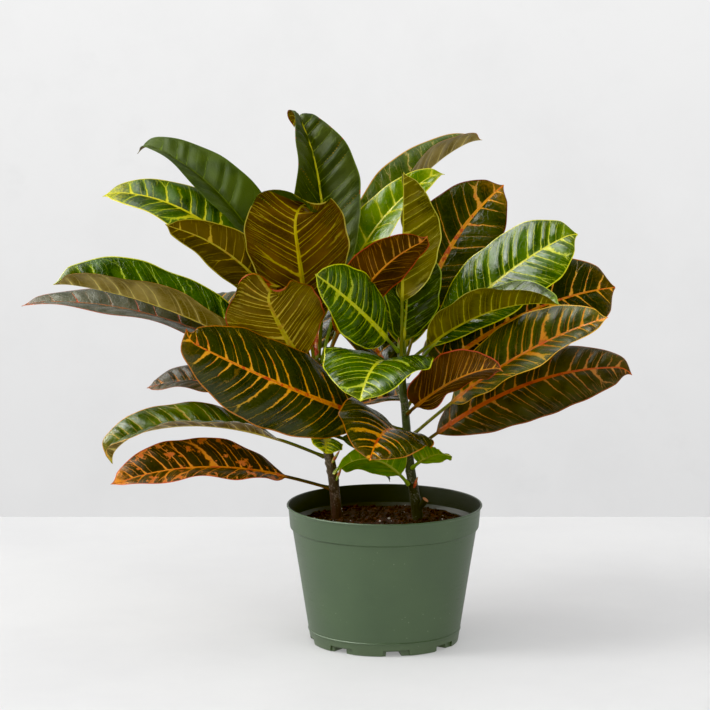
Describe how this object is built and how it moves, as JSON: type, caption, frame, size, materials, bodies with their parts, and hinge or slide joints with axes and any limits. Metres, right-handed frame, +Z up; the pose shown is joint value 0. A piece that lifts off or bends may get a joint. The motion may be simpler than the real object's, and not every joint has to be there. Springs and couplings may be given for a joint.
{
  "type": "potted croton",
  "caption": "Croton houseplant with two woody stems and broad glossy ribbed leaves, growing in soil in a tapered plastic nursery pot.",
  "frame": {"origin": "centre of the pot's underside, on the surface it stands on", "axes": "+Z up along the pot's axis, +X to the right and -Y towards the front, the side that the picture shows"},
  "size_m": [0.4787, 0.2724, 0.4091],
  "materials": {
    "pot_plastic": "blow-moulded sage green plastic, satin, lightly scuffed",
    "potting_soil": "dark red-brown peat and bark soil with white perlite grains, rough",
    "bark": "thin brown-green bark with pale leaf scars",
    "young_leaf": "glossy bright green leaf with yellow veins and margin, olive underside",
    "mature_leaf": "glossy very dark green leaf with orange and red veins, brown-olive underside"
  },
  "bodies": {
    "root": {"pot": "pot_plastic", "soil": "potting_soil", "stem_left": "bark", "stem_right": "bark", "left_leaf_01": "young_leaf", "left_leaf_02": "young_leaf", "left_leaf_03": "young_leaf", "left_leaf_04": "mature_leaf", "left_leaf_05": "mature_leaf", "left_leaf_06": "young_leaf", "left_leaf_07": "mature_leaf", "left_leaf_08": "young_leaf", "left_leaf_09": "young_leaf", "left_leaf_10": "young_leaf", "left_leaf_11": "mature_leaf", "left_leaf_12": "mature_leaf", "left_leaf_13": "mature_leaf", "left_leaf_14": "mature_leaf", "left_leaf_15": "young_leaf", "left_leaf_16": "young_leaf", "left_leaf_17": "mature_leaf", "left_leaf_18": "mature_leaf", "left_leaf_19": "mature_leaf", "left_leaf_20": "mature_leaf", "right_leaf_01": "young_leaf", "right_leaf_02": "mature_leaf", "right_leaf_03": "young_leaf", "right_leaf_04": "mature_leaf", "right_leaf_05": "young_leaf", "right_leaf_06": "young_leaf", "right_leaf_07": "mature_leaf", "right_leaf_08": "mature_leaf", "right_leaf_09": "mature_leaf", "right_leaf_10": "mature_leaf", "right_leaf_11": "young_leaf", "right_leaf_12": "mature_leaf", "right_leaf_13": "mature_leaf", "right_leaf_14": "young_leaf", "right_leaf_15": "young_leaf", "right_leaf_16": "mature_leaf", "right_leaf_17": "mature_leaf", "right_leaf_18": "mature_leaf"}
  },
  "joints": []
}
